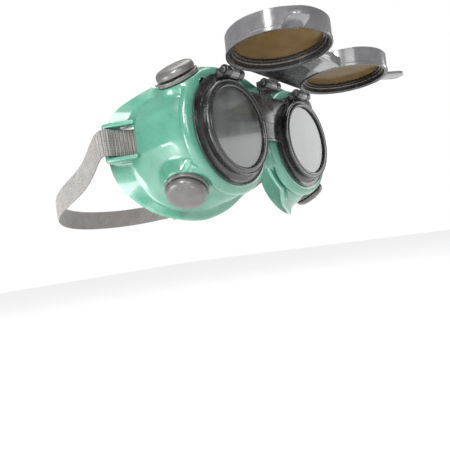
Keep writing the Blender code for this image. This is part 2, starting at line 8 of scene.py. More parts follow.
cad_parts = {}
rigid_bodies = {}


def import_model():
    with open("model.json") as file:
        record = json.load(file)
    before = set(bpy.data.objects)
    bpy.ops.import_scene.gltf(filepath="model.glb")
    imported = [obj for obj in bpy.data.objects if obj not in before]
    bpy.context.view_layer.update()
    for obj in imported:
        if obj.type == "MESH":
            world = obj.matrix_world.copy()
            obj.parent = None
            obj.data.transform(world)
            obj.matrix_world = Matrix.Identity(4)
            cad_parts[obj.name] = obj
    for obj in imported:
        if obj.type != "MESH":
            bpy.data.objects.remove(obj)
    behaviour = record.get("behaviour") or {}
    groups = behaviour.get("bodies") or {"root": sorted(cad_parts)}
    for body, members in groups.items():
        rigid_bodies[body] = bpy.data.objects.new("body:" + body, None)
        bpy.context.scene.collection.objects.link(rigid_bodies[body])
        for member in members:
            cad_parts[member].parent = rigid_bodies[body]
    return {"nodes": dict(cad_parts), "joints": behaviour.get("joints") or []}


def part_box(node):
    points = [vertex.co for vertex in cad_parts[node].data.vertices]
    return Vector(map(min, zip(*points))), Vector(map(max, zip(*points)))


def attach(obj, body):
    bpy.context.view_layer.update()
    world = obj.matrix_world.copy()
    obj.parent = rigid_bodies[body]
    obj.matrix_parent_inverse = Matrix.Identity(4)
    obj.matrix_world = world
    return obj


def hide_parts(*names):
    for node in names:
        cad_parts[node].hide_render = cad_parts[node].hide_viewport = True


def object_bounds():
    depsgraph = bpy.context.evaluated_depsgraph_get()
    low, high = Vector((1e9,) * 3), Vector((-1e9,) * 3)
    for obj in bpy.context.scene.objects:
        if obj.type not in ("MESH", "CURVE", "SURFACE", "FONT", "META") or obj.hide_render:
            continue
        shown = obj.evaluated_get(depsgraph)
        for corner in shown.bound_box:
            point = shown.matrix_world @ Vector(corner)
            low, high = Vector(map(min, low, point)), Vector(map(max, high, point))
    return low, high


MM = 0.001
FIXED = "goggles"
LIFTED = "flip_front"
SIDES = {"right": -1, "left": 1}
FINE_TURN = 192
COARSE_TURN = 96
PIN_TURN = 48
BEVEL_STEPS = 3
SHARP_ANGLE = 32
CORNER_SHARE = 0.45
WELD = 1e-7
RING_LAP = 2.2 * MM
FLOOR_DROP = 0.14


# --- places read from the frame ---------------------------------------------------------------

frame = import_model()
cad_low, cad_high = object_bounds()
hinge = frame["joints"][0]
HINGE = Vector(hinge["pos_m"])
RAISED = math.radians(hinge["range_deg"][1])
lens_low, lens_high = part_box("clear_lens_left")
EYE_X = (lens_low.x + lens_high.x) / 2
LENS_RADIUS = (lens_high.x - lens_low.x) / 2
ring_low, ring_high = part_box("fixed_retaining_ring_left")
RING_RADIUS = (ring_high.x - ring_low.x) / 2
RING_DEPTH = ring_high.y
APERTURE = LENS_RADIUS - RING_LAP
FLOOR_Z = cad_low.z - FLOOR_DROP


# --- mesh helpers -----------------------------------------------------------------------------

def put(name, shape, matter=None, angle=SHARP_ANGLE):
    """A smooth-shaded object from a bmesh, with edges sharper than the angle kept sharp."""
    bmesh.ops.recalc_face_normals(shape, faces=shape.faces)
    mesh = bpy.data.meshes.new(name)
    shape.to_mesh(mesh)
    shape.free()
    mesh.shade_smooth()
    mesh.set_sharp_from_angle(angle=math.radians(angle))
    obj = bpy.data.objects.new(name, mesh)
    bpy.context.scene.collection.objects.link(obj)
    if matter is not None:
        mesh.materials.append(matter)
    return obj


def rounded(corners, radius, steps=4, closed=True):
    """The polygon with each corner turned into a small arc."""
    points = [Vector(corner) for corner in corners]
    made = []
    for i, corner in enumerate(points):
        if not closed and i in (0, len(points) - 1):
            made.append(corner)
            continue
        before, after = points[i - 1], points[(i + 1) % len(points)]
        to_before, to_after = before - corner, after - corner
        reach = min(radius, to_before.length * CORNER_SHARE,
                    to_after.length * CORNER_SHARE)
        start = corner + to_before.normalized() * reach
        end = corner + to_after.normalized() * reach
        for step in range(steps + 1):
            t = step / steps
            made.append(start * (1 - t) ** 2 + corner * 2 * t * (1 - t) + end * t ** 2)
    return made


def lathe(outline, steps, closed=True):
    """A bmesh turned about Z from an outline of (radius, height)."""
    shape = bmesh.new()
    columns = []
    for step in range(steps):
        angle = 2 * math.pi * step / steps
        columns.append([
            shape.verts.new((point[0] * math.cos(angle), point[0] * math.sin(angle), point[1]))
            for point in outline])
    spans = len(outline) if closed else len(outline) - 1
    for i in range(steps):
        near, far = columns[i], columns[(i + 1) % steps]
        for j in range(spans):
            k = (j + 1) % len(outline)
            shape.faces.new((near[j], far[j], far[k], near[k]))
    bmesh.ops.remove_doubles(shape, verts=shape.verts, dist=WELD)
    return shape


def placed(shape, matrix):
    bmesh.ops.transform(shape, matrix=matrix, verts=shape.verts)
    return shape


def to_front(x):
    """Turns something made about +Z so that +Z looks to the front, at a lens centre."""
    return Matrix.Translation((x, 0.0, 0.0)) @ Matrix.Rotation(math.pi / 2, 4, "X")


def along(direction, place):
    turn = Vector(direction).to_track_quat("Z", "Y").to_matrix().to_4x4()
    return Matrix.Translation(place) @ turn


def round_edges(shape, edges, radius):
    bmesh.ops.bevel(shape, geom=edges, offset=radius, segments=BEVEL_STEPS, profile=0.5,
                    affect="EDGES")
    return shape


def block(low, high, radius):
    """A box between two corners, with rounded edges."""
    shape = bmesh.new()
    bmesh.ops.create_cube(shape, size=1.0)
    low, high = Vector(low), Vector(high)
    bmesh.ops.scale(shape, vec=high - low, verts=shape.verts)
    bmesh.ops.translate(shape, vec=(high + low) / 2, verts=shape.verts)
    return round_edges(shape, shape.edges[:], radius)


def plate(corners, low, high, radius):
    """A flat plate of the given (x, y) outline between two heights, with rounded edges."""
    shape = bmesh.new()
    face = shape.faces.new([shape.verts.new((x, y, low)) for x, y in corners])
    made = bmesh.ops.extrude_face_region(shape, geom=[face])
    top = [v for v in made["geom"] if isinstance(v, bmesh.types.BMVert)]
    bmesh.ops.translate(shape, vec=(0, 0, high - low), verts=top)
    rims = [edge for edge in shape.edges if len({round(v.co.z, 6) for v in edge.verts}) == 1]
    return round_edges(shape, rims, radius)


def pin(radius, length, edge=0.3 * MM):
    """A round bar along Z, centred, with rounded ends."""
    half = length / 2
    ends = [(0, half), (radius, half), (radius, -half), (0, -half)]
    return lathe(rounded(ends, edge, closed=False), PIN_TURN, closed=False)


def merged(name, shapes, matter):
    """One object from several bmeshes."""
    whole = bmesh.new()
    for shape in shapes:
        bmesh.ops.recalc_face_normals(shape, faces=shape.faces)
        mesh = bpy.data.meshes.new("part")
        shape.to_mesh(mesh)
        shape.free()
        whole.from_mesh(mesh)
        bpy.data.meshes.remove(mesh)
    return put(name, whole, matter)


def smooth(points, per_span):
    """A Catmull-Rom curve through the points, with both end points kept."""
    ends = [points[0] * 2 - points[1], *points, points[-1] * 2 - points[-2]]
    curve = []
    for i in range(1, len(ends) - 2):
        before, start, end, after = ends[i - 1:i + 3]
        for step in range(per_span):
            t = step / per_span
            curve.append(0.5 * (2 * start + (end - before) * t
                                + (2 * before - 5 * start + 4 * end - after) * t ** 2
                                + (3 * start - before - 3 * end + after) * t ** 3))
    curve.append(points[-1])
    return curve


def ease(low, high, value):
    t = max(0.0, min(1.0, (value - low) / (high - low)))
    return t * t * (3 - 2 * t)


def mirror_x(vector):
    return Vector((-vector.x, vector.y, vector.z))


def raise_up(obj):
    """Swings a piece drawn with the flip front closed up to its rest pose."""
    swing = (Matrix.Translation(HINGE) @ Matrix.Rotation(-RAISED, 4, "X")
             @ Matrix.Translation(-HINGE))
    obj.data.transform(swing)
    return obj


# --- material helpers -------------------------------------------------------------------------

class Shader:
    """A Principled material with its node tree, and short calls to add to it."""

    def __init__(self, name, **values):
        self.material = bpy.data.materials.new(name)
        self.material.use_nodes = True
        self.tree = self.material.node_tree
        self.main = self.tree.nodes["Principled BSDF"]
        self.place = self.add("ShaderNodeTexCoord").outputs["Object"]
        for socket, value in values.items():
            self.main.inputs[socket.replace("_", " ")].default_value = value

    def add(self, kind, **settings):
        node = self.tree.nodes.new(kind)
        for name, value in settings.items():
            setattr(node, name, value)
        return node

    def link(self, output, target):
        self.tree.links.new(output, target)

    def noise(self, scale, detail=3.0, roughness=0.55, stretch=None):
        node = self.add("ShaderNodeTexNoise")
        node.inputs["Scale"].default_value = scale
        node.inputs["Detail"].default_value = detail
        node.inputs["Roughness"].default_value = roughness
        source = self.place
        if stretch is not None:
            mapping = self.add("ShaderNodeMapping")
            mapping.inputs["Scale"].default_value = stretch
            self.link(source, mapping.inputs["Vector"])
            source = mapping.outputs["Vector"]
        self.link(source, node.inputs["Vector"])
        return node.outputs["Fac"]

    def speckle(self, scale):
        node = self.add("ShaderNodeTexVoronoi")
        node.inputs["Scale"].default_value = scale
        self.link(self.place, node.inputs["Vector"])
        return node.outputs["Distance"]

    def spread(self, value, low, high, to_low, to_high):
        node = self.add("ShaderNodeMapRange")
        for socket, number in zip(("From Min", "From Max", "To Min", "To Max"),
                                  (low, high, to_low, to_high)):
            node.inputs[socket].default_value = number
        self.link(value, node.inputs["Value"])
        return node.outputs["Result"]

    def ramp(self, value, *stops):
        node = self.add("ShaderNodeValToRGB")
        elements = node.color_ramp.elements
        while len(elements) < len(stops):
            elements.new(0.5)
        for element, (place, colour) in zip(elements, stops):
            element.position = place
            element.color = (*colour, 1.0)
        self.link(value, node.inputs["Fac"])
        return node.outputs["Color"]

    def mix(self, amount, first, second, blend="MIX"):
        """Mixes two colours; each is an output or a colour."""
        node = self.add("ShaderNodeMix", data_type="RGBA", blend_type=blend)
        sockets = [s for s in node.inputs if s.type == "RGBA"]
        for socket, source in zip(sockets, (first, second)):
            if isinstance(source, tuple):
                socket.default_value = (*source, 1.0)
            else:
                self.link(source, socket)
        if isinstance(amount, float):
            node.inputs["Factor"].default_value = amount
        else:
            self.link(amount, node.inputs["Factor"])
        return [s for s in node.outputs if s.type == "RGBA"][0]

    def maths(self, operation, first, second):
        node = self.add("ShaderNodeMath", operation=operation)
        for socket, source in zip(node.inputs, (first, second)):
            if isinstance(source, float):
                socket.default_value = source
            else:
                self.link(source, socket)
        return node.outputs["Value"]

    def edges(self, low=0.52, high=0.62):
        """1 on outer edges, 0 elsewhere."""
        return self.spread(self.add("ShaderNodeNewGeometry").outputs["Pointiness"],
                           low, high, 0.0, 1.0)

    def bump(self, *layers):
        """Layers of (height, strength, distance in metres), coarse to fine."""
        normal = None
        for height, strength, distance in layers:
            node = self.add("ShaderNodeBump")
            node.inputs["Strength"].default_value = strength
            node.inputs["Distance"].default_value = distance
            self.link(height, node.inputs["Height"])
            if normal is not None:
                self.link(normal, node.inputs["Normal"])
            normal = node.outputs["Normal"]
        self.link(normal, self.main.inputs["Normal"])

    def colour(self, output):
        self.link(output, self.main.inputs["Base Color"])

    def rough(self, output):
        self.link(output, self.main.inputs["Roughness"])


# --- materials --------------------------------------------------------------------------------

def vinyl():
    """Soft green PVC: slightly cloudy colour, glossy skin, faint moulding waves and dust."""
    s = Shader("green_vinyl_skin", Coat_Weight=0.8, Coat_Roughness=0.10, IOR=1.5)
    cloud = s.ramp(s.noise(45, 4), (0.30, (0.040, 0.160, 0.110)), (0.70, (0.062, 0.212, 0.152)))
    dust = s.ramp(s.noise(420, 5), (0.56, (0, 0, 0)), (0.78, (1, 1, 1)))
    dusty = s.mix(s.spread(dust, 0.0, 1.0, 0.0, 0.22), cloud, (0.12, 0.30, 0.23))
    worn = s.mix(s.spread(s.edges(0.53, 0.66), 0.0, 1.0, 0.0, 0.35), dusty, (0.14, 0.38, 0.28))
    s.colour(worn)
    s.rough(s.spread(s.noise(160, 4), 0.3, 0.7, 0.24, 0.40))
    s.bump((s.noise(60, 2), 0.25, 0.0006), (s.noise(1500, 3), 0.12, 0.00012))
    return s.material


def black_plastic(name, dark, light, rough, coat):
    """Moulded black plastic with flow marks, fine scratches, dust and paler edges."""
    s = Shader(name, Coat_Weight=coat, Coat_Roughness=0.12, IOR=1.5)
    flow = s.ramp(s.noise(90, 4), (0.32, dark), (0.72, light))
    dust = s.ramp(s.noise(900, 4), (0.60, (0, 0, 0)), (0.80, (1, 1, 1)))
    dusty = s.mix(s.spread(dust, 0.0, 1.0, 0.0, 0.16), flow, (0.22, 0.22, 0.21))
    s.colour(s.mix(s.spread(s.edges(), 0.0, 1.0, 0.0, 0.30), dusty, (0.12, 0.12, 0.12)))
    scratch = s.noise(700, 2, 0.5, (0.15, 1.0, 0.2))
    s.rough(s.spread(s.noise(300, 4), 0.3, 0.7, rough - 0.07, rough + 0.10))
    s.bump((s.noise(140, 2), 0.15, 0.0003), (scratch, 0.10, 0.00008),
           (s.speckle(2600), 0.08, 0.00006))
    return s.material


def grey_plastic():
    """Satin grey vent plastic with a stippled skin and rubbed edges."""
    s = Shader("grey_vent_plastic", Coat_Weight=0.6, Coat_Roughness=0.2, IOR=1.5)
    tone = s.ramp(s.noise(130, 4), (0.30, (0.048, 0.046, 0.044)), (0.72, (0.090, 0.087, 0.083)))
    s.colour(s.mix(s.spread(s.edges(), 0.0, 1.0, 0.0, 0.45), tone, (0.22, 0.21, 0.20)))
    s.rough(s.spread(s.noise(500, 4), 0.3, 0.7, 0.30, 0.48))
    s.bump((s.speckle(1800), 0.22, 0.00012), (s.noise(220, 3), 0.15, 0.0003))
    return s.material


def rubber():
    """Matt black rubber with a powdery skin."""
    s = Shader("gasket_rubber_skin", IOR=1.5)
    s.colour(s.ramp(s.noise(300, 4), (0.3, (0.012, 0.012, 0.012)), (0.75, (0.035, 0.035, 0.034))))
    s.rough(s.spread(s.noise(700, 3), 0.3, 0.7, 0.6, 0.85))
    s.bump((s.noise(1200, 3), 0.3, 0.0001))
    return s.material


def glass(name, clean, smeared, transmission, rough, bend=1.5, coat=0.4):
    """Flat glass with faint smears and dust that break up its gloss."""
    s = Shader(name, Transmission_Weight=transmission, IOR=bend, Coat_Weight=coat,
               Coat_Roughness=0.02)
    smear = s.noise(70, 5, 0.65, (1.0, 1.0, 0.35))
    s.colour(s.ramp(smear, (0.35, clean), (0.75, smeared)))
    s.rough(s.spread(smear, 0.35, 0.75, rough, rough * 2 + 0.02))
    s.bump((s.noise(12, 1), 0.01, 0.0003))
    return s.material


def steel(name, dark, light, rough):
    """Drawn steel with fine marks along it."""
    s = Shader(name, Metallic=1.0)
    s.colour(s.ramp(s.noise(600, 4), (0.3, dark), (0.7, light)))
    s.rough(s.spread(s.noise(900, 4), 0.3, 0.7, rough, rough + 0.2))
    s.bump((s.noise(1800, 2, 0.5, (0.1, 1.0, 1.0)), 0.2, 0.00005))
    return s.material


def webbing():
    """Woven elastic: ribs across the strap, yarn columns along it, fuzz and grey mottling."""
    s = Shader("elastic_webbing", Sheen_Weight=0.35, Sheen_Roughness=0.5, IOR=1.4)
    where = s.add("ShaderNodeUVMap", uv_map="weave").outputs["UV"]
    parts = s.add("ShaderNodeSeparateXYZ")
    s.link(where, parts.inputs["Vector"])
    run, width = parts.outputs["X"], parts.outputs["Y"]

    def wave(value, pitch):
        turned = s.maths("MULTIPLY", value, 2 * math.pi / pitch)
        return s.spread(s.maths("SINE", turned, 0.0), -1.0, 1.0, 0.0, 1.0)

    wobble = s.maths("MULTIPLY", s.noise(500, 3), 0.0009)
    ribs = wave(s.maths("ADD", run, wobble), 1.15 * MM)
    yarns = wave(s.maths("ADD", width, wobble), 0.95 * MM)
    weave = s.maths("MULTIPLY", s.spread(ribs, 0.0, 1.0, 0.35, 1.0),
                    s.spread(yarns, 0.0, 1.0, 0.6, 1.0))
    yarn = s.ramp(weave, (0.15, (0.060, 0.057, 0.054)), (0.85, (0.265, 0.255, 0.245)))
    mottle = s.ramp(s.noise(140, 5), (0.25, (0.72, 0.71, 0.70)), (0.75, (1.0, 1.0, 1.0)))
    s.colour(s.mix(1.0, yarn, mottle, "MULTIPLY"))
    s.rough(s.spread(s.noise(900, 3), 0.3, 0.7, 0.72, 0.92))
    s.bump((weave, 0.8, 0.00035), (s.noise(4200, 3), 0.5, 0.0001))
    return s.material


def floor_paint():
    """A plain pale studio floor with a faint unevenness."""
    s = Shader("pale_floor", Emission_Color=(1, 1, 1, 1), Emission_Strength=0.55)
    s.colour(s.ramp(s.noise(3, 3), (0.3, (0.86, 0.86, 0.86)), (0.7, (0.90, 0.90, 0.90))))
    s.rough(s.spread(s.noise(20, 3), 0.3, 0.7, 0.7, 0.85))
    return s.material


GREEN = vinyl()
# Black housing plastic; on the flip frame it also stands as painted shade inside the cups and on
# the rear faces.
BLACK = black_plastic("black_housing", (0.008, 0.008, 0.009), (0.020, 0.020, 0.021), 0.24, 0.35)
# The flip frame's black plastic made lighter grey than the housing: painted light and painted
# reflection on its outer faces.
FLIP_PAINTED_LIT = black_plastic("black_flip_painted_lit", (0.075, 0.075, 0.078), (0.110, 0.110, 0.114), 0.22, 0.9)
GREY = grey_plastic()
RUBBER = rubber()
CLEAR = glass("clear_lens_glass", (0.13, 0.14, 0.14), (0.22, 0.23, 0.22), 0.80, 0.07)
COVER = glass("cover_lens_glass", (0.88, 0.90, 0.88), (0.80, 0.82, 0.79), 0.95, 0.02)
SHADE = glass("shade_lens_glass", (0.105, 0.066, 0.026), (0.155, 0.105, 0.045), 0.15, 0.10,
              1.12, 0.0)
STEEL = steel("hinge_pin_steel", (0.05, 0.05, 0.05), (0.12, 0.12, 0.12), 0.4)
SPRING = steel("split_ring_wire", (0.13, 0.11, 0.10), (0.24, 0.21, 0.19), 0.32)
WEB = webbing()


# --- mask -------------------------------------------------------------------------------------

WALL = 2.2 * MM
PAD_RADIUS = 12.5 * MM
PAD_TOP = 0.6 * MM
BAR = Vector((84.0, 60.5, 1.7)) * MM
LOOP_HALF_GAP = 8.5 * MM
LOOP_PLATE = 2.4 * MM
VENTS = {
    "lower": (Vector((63.8, 22.5, -29.6)) * MM, Vector((0.50, -0.27, -0.82)).normalized()),
    "upper": (Vector((61.6, 19.5, 28.4)) * MM, Vector((0.58, -0.10, 0.81)).normalized()),
}
STRAP_HEIGHT = 1.7
WINDOW_HALF = 8.4
BAR_RADIUS = 1.5 * MM
RIDGES = (math.radians(17.0), math.radians(-10.8))


def face_edge():
    """The outer edge of the left half, from the brow round to the nose."""
    corners = [
        (0, 10, 32.5), (12, 9, 34.2), (25, 9.5, 36.6), (38, 11.5, 37.6), (50, 16, 37),
        (60, 25, 33.6), (68, 36, 28.6), (74, 47, 24.3), (77, 57, 20.5), (78, 65, 14),
        (78, 68, 3), (77.5, 68, -8), (76, 66, -18), (73, 60.5, -27.5), (69, 52, -36.5),
        (63.5, 43, -42.8), (56, 34, -46.6), (47, 28, -47.6), (38, 24, -45.3), (30, 21.3, -41.8),
        (24, 18, -37), (19, 15, -32.5), (14, 14, -28.8), (8.5, 13, -24.4), (4, 11.8, -20.6),
        (0, 11, -19),
    ]
    return smooth([Vector(corner) * MM for corner in corners], 8)


def nose_seam():
    """The centre seam from the nose arch up to the brow, without its ends."""
    corners = [(0, 11, -19), (0, 9.6, -15), (0, 8.6, -8), (0, 8.2, 0), (0, 8.2, 9), (0, 8.4, 18),
               (0, 9, 26), (0, 10, 32.5)]
    return smooth([Vector(corner) * MM for corner in corners], 6)[1:-1]


BEAD_CORNERS = ((31.0, 6.45), (33.2, 6.45), (35.5, 7.5), (36.7, 9.6), (36.2, 11.9), (34.6, 13.0))
BEAD = smooth([Vector((radius, depth, 0)) * MM for radius, depth in BEAD_CORNERS], 4)
SHOULDER = 11
WALL_ROWS = 15
FLANGE_ROWS = 5
FLANGE_WIDTH = 3.6
TEMPLE_WIDTH = 1.6
FLANGE_STEP = 4.0
TEMPLE_STEP = 9.0
LEAST_STEP = 0.02 * MM
RIDGE_WIDTH = 0.13
RIDGE_HEIGHT = 2.3
WALL_SWELL = 1.5
SEAM_BLEND = 9 * MM
PAD_REACH = 14 * MM
PAD_BLEND = (0.2 * MM, 1.9 * MM)
MIRROR_WELD = 0.00004
MASK_ROUNDING = 0.7 * MM
MASK_SHARP_ANGLE = 50
ROUNDED_ANGLE = 60


def bead_row(outward, point):
    return Vector((EYE_X, point.y, 0)) + outward * point.x


def open_column(edge, outward, angle):
    """Rows from the lens hole over the bead and down the wall to the flange."""
    column = [bead_row(outward, point) for point in BEAD]
    start = column[-1]
    temple = max(0.0, min(1.0, (edge.y / MM - 20) / 40))
    low = ease(22 * MM, 38 * MM, -edge.z)
    depth = (FLANGE_STEP + TEMPLE_STEP * temple) * (1 - 0.6 * low) * MM
    width = FLANGE_WIDTH + TEMPLE_WIDTH * ease(12 * MM, 30 * MM, edge.y)
    inner = edge - outward * width * MM
    inner.y = max(inner.y - depth, start.y + LEAST_STEP)
    ridge = sum(math.exp(-abs(angle - place) / RIDGE_WIDTH) for place in RIDGES)
    for row in range(1, WALL_ROWS + 1):
        share = row / WALL_ROWS
        swell = math.sin(math.pi * share ** 0.55)
        crest = RIDGE_HEIGHT * ridge * temple * ease(0, 0.3, share) * (1 - share ** 5)
        bulge = (WALL_SWELL * swell + crest) * MM
        column.append(start.lerp(inner, share) + outward * bulge)
    for row in range(1, FLANGE_ROWS + 1):
        column.append(inner.lerp(edge, row / FLANGE_ROWS))
    return column


def seam_column(edge, outward):
    """Rows from the lens hole over the bead's shoulder straight to the edge."""
    column = [bead_row(outward, point) for point in BEAD[:SHOULDER]]
    start = column[-1]
    rest = len(BEAD) + WALL_ROWS + FLANGE_ROWS - SHOULDER
    return column + [start.lerp(edge, row / rest) for row in range(1, rest + 1)]


def mask_columns():
    """The left half's columns, blended from the open wall to the sewn centre near the nose."""
    edge = face_edge()
    rims = [(point, 1 - ease(0, SEAM_BLEND, point.x)) for point in edge]
    rims += [(point, 1.0) for point in nose_seam()]
    columns = []
    for point, seam in rims:
        offset = Vector((point.x - EYE_X, 0, point.z))
        outward = offset.normalized()
        angle = math.atan2(offset.z, offset.x)
        opened = open_column(point, outward, angle)
        sewn = seam_column(point, outward)
        columns.append([a.lerp(b, seam) for a, b in zip(opened, sewn)])
    return columns


def press_pads(point):
    """Flattens the wall into the round pad under each vent."""
    for place, axis in VENTS.values():
        offset = point - place
        height = offset.dot(axis)
        if abs(height) > PAD_REACH:
            continue
        radius = (offset - axis * height).length
        share = 1 - ease(PAD_RADIUS + PAD_BLEND[0], PAD_RADIUS + PAD_BLEND[1], radius)
        point = point + axis * (PAD_TOP - height) * share
    return point


def mask_sheet():
    shape = bmesh.new()
    columns = []
    for column in mask_columns():
        columns.append([shape.verts.new(press_pads(point)) for point in column])
    for i, column in enumerate(columns):
        following = columns[(i + 1) % len(columns)]
        for j in range(len(column) - 1):
            shape.faces.new((column[j], following[j], following[j + 1], column[j + 1]))
    bmesh.ops.recalc_face_normals(shape, faces=shape.faces)
    return shape


def apply_all(obj):
    """Turns the object's modifiers into its mesh."""
    graph = bpy.context.evaluated_depsgraph_get()
    mesh = bpy.data.meshes.new_from_object(obj.evaluated_get(graph))
    obj.modifiers.clear()
    obj.data = mesh


def cut_windows(mask):
    """Opens the strap slot in each temple."""
    for hand in SIDES.values():
        low = Vector((70, 47, STRAP_HEIGHT - WINDOW_HALF)) * MM
        high = Vector((82, 60, STRAP_HEIGHT + WINDOW_HALF)) * MM
        if hand < 0:
            low, high = Vector((-high.x, low.y, low.z)), Vector((-low.x, high.y, high.z))
        cutter = put("window", block(low, high, 1.0 * MM))
        step = mask.modifiers.new("window", "BOOLEAN")
        step.operation = "DIFFERENCE"
        step.solver = "EXACT"
        step.object = cutter
        apply_all(mask)
        bpy.data.objects.remove(cutter)


def loop_shapes(hand):
    """The two triangular plates of a strap loop and the bar between them."""
    corners = [(72.8, 45.0), (76.0, 44.8), (84.9, 58.8), (85.2, 61.0), (84.0, 62.3), (75.0, 65.5)]
    outline = [(x * MM * hand, y * MM) for x, y in corners]
    shapes = []
    for low in (BAR.z + LOOP_HALF_GAP, BAR.z - LOOP_HALF_GAP - LOOP_PLATE):
        shapes.append(plate(outline, low, low + LOOP_PLATE, 0.7 * MM))
    bar_place = Vector(((BAR.x - 0.3 * MM) * hand, BAR.y, BAR.z))
    bar = pin(BAR_RADIUS, 2 * LOOP_HALF_GAP + LOOP_PLATE)
    shapes.append(placed(bar, Matrix.Translation(bar_place)))
    return shapes


def make_mask():
    sheet = put("mask_body", mask_sheet(), GREEN)
    mirror = sheet.modifiers.new("mirror", "MIRROR")
    mirror.merge_threshold = MIRROR_WELD
    thick = sheet.modifiers.new("wall", "SOLIDIFY")
    thick.thickness = WALL
    thick.offset = -1.0
    apply_all(sheet)
    cut_windows(sheet)
    edge = sheet.modifiers.new("edge", "BEVEL")
    edge.width = MASK_ROUNDING
    edge.segments = BEVEL_STEPS
    edge.limit_method = "ANGLE"
    edge.angle_limit = math.radians(ROUNDED_ANGLE)
    sheet.data.shade_smooth()
    sheet.data.set_sharp_from_angle(angle=math.radians(MASK_SHARP_ANGLE))
    shapes = [shape for hand in SIDES.values() for shape in loop_shapes(hand)]
    loops = merged("mask_strap_loops", shapes, GREEN)
    for piece in (sheet, loops):
        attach(piece, FIXED)
    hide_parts("soft_mask")


# --- vents ------------------------------------------------------------------------------------

CAP_FACE = ((0, 4.45), (3.0, 4.42), (6.4, 4.3), (8.1, 4.12), (8.7, 3.95), (9.3, 3.8), (10.3, 3.1),
            (11.0, 2.0), (11.2, 1.0))


def vent_base():
    """A ring that sits on the wall, with its stem through it."""
    seat = PAD_TOP + 0.3 * MM
    outline = [(3.3, 2.2), (12.0, 2.2), (12.0, 0.0), (5.0, 0.0), (5.0, -6.4), (3.3, -6.4)]
    return lathe(rounded([(r * MM, h * MM + seat, 0) for r, h in outline], 0.6 * MM),
                 COARSE_TURN)


def vent_cap():
    """A button with a rolled shoulder, a shallow groove and a slightly sunken face."""
    low = PAD_TOP + 3.6 * MM
    top = smooth([Vector((radius, height, 0)) for radius, height in CAP_FACE], 4)
    outline = [(point.x * MM, point.y * MM + low, 0) for point in top]
    rim, stem, stem_end = 11.2 * MM, 2.9 * MM, low - 5.0 * MM
    outline += rounded([(rim, low + 0.9 * MM, 0), (rim, low, 0), (stem, low, 0)],
                       0.35 * MM, closed=False)
    outline += [(stem, stem_end, 0), (0, stem_end, 0)]
    return lathe(outline, COARSE_TURN, closed=False)


def make_vents():
    for height, (place, axis) in VENTS.items():
        for side, hand in SIDES.items():
            point, outward = (place, axis) if hand > 0 else (mirror_x(place), mirror_x(axis))
            for part, shape in (("base", vent_base()), ("cap", vent_cap())):
                name = f"vent_{part}_{height}_{side}"
                piece = put(f"shown_{name}", placed(shape, along(outward, point)), GREY)
                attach(piece, FIXED)
                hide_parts(name)


# --- fixed lens units -------------------------------------------------------------------------

WEB_ROWS = 12
KNUCKLE_RADIUS = 3.1 * MM
KNUCKLE_EDGE = 0.4 * MM


def half_gap(z, radius):
    """Half the room between two round bodies of that radius, one at each eye, at a height."""
    return EYE_X - math.sqrt(max(0.0, radius ** 2 - z * z))


def web_between(radius, low_z, high_z, front, back, edge):
    """A plate between the two round bodies, whose sides follow their curve."""
    rows = WEB_ROWS
    heights = [low_z + (high_z - low_z) * row / rows for row in range(rows + 1)]
    corners = [(-half_gap(z, radius), z) for z in heights]
    corners += [(half_gap(z, radius), z) for z in reversed(heights)]
    return placed(plate(corners, -back, -front, edge), Matrix.Rotation(math.pi / 2, 4, "X"))


def ring_shape():
    """The retaining ring: a rounded front bead, a groove, and a second bead."""
    r, a, d = RING_RADIUS, APERTURE, RING_DEPTH
    outline = [
        (a, -1.1 * MM), (a, -0.35 * MM), (a + 0.7 * MM, 0), (a + 1.6 * MM, 0),
        (a + 2.1 * MM, -0.5 * MM),
        (r - 1.0 * MM, -0.5 * MM), (r - 0.6 * MM, -0.1 * MM), (r, -0.7 * MM), (r, -1.5 * MM),
        (r - 0.6 * MM, -2.0 * MM), (r - 0.9 * MM, -3.0 * MM), (r - 0.9 * MM, -d),
        (r - 1.6 * MM, -d), (r - 1.6 * MM, -1.1 * MM),
    ]
    return lathe(rounded([(x, h, 0) for x, h in outline], 0.3 * MM, 3), FINE_TURN)


def tube_shape():
    """A lens tube with its concave flare and the flange behind the mask wall."""
    outline = [
        (25.9, -4.42), (26.6, -4.75), (27.6, -5.35), (29.0, -5.75), (30.4, -5.7), (31.75, -5.3),
        (31.75, -6.1),
        (30.3, -6.1), (30.3, -9.1), (32.0, -9.1), (32.0, -10.3), (28.4, -10.3), (28.4, -6.0),
        (22.8, -6.0), (22.8, -4.7), (25.9, -4.7),
    ]
    return lathe(rounded([(x * MM, h * MM, 0) for x, h in outline], 0.35 * MM, 3), FINE_TURN)


def ear_shapes(centre_x):
    """The two fixed ears of one hinge: a round knuckle and its foot on each side."""
    shapes = []
    for hand in (-1, 1):
        ends = sorted((centre_x + hand * 3.6 * MM, centre_x + hand * 7.8 * MM))
        middle = (sum(ends) / 2, HINGE.y, HINGE.z)
        knuckle = pin(KNUCKLE_RADIUS, ends[1] - ends[0], KNUCKLE_EDGE)
        shapes.append(placed(knuckle, along((1, 0, 0), middle)))
        shapes.append(block((ends[0] + 0.1 * MM, HINGE.y, 27.9 * MM),
                            (ends[1] - 0.1 * MM, 5.8 * MM, 33.1 * MM), KNUCKLE_EDGE))
    return shapes


def web_shapes():
    """The web between the tubes, its ribs, its lower lip and the centre post."""
    return [
        web_between(27.8 * MM, -3.4 * MM, 25.6 * MM, 4.8 * MM, 5.9 * MM, 0.3 * MM),
        block((-6 * MM, 4.4 * MM, 8 * MM), (6 * MM, 5.85 * MM, 30 * MM), 0.45 * MM),
        block((-9.6 * MM, 4.45 * MM, 11.6 * MM), (9.6 * MM, 5.2 * MM, 12.4 * MM), 0.3 * MM),
        block((-9.6 * MM, 4.45 * MM, 13.4 * MM), (9.6 * MM, 5.2 * MM, 14.2 * MM), 0.3 * MM),
        block((-10.4 * MM, 4.45 * MM, -3.4 * MM), (10.4 * MM, 5.7 * MM, -1.6 * MM), 0.45 * MM),
    ]


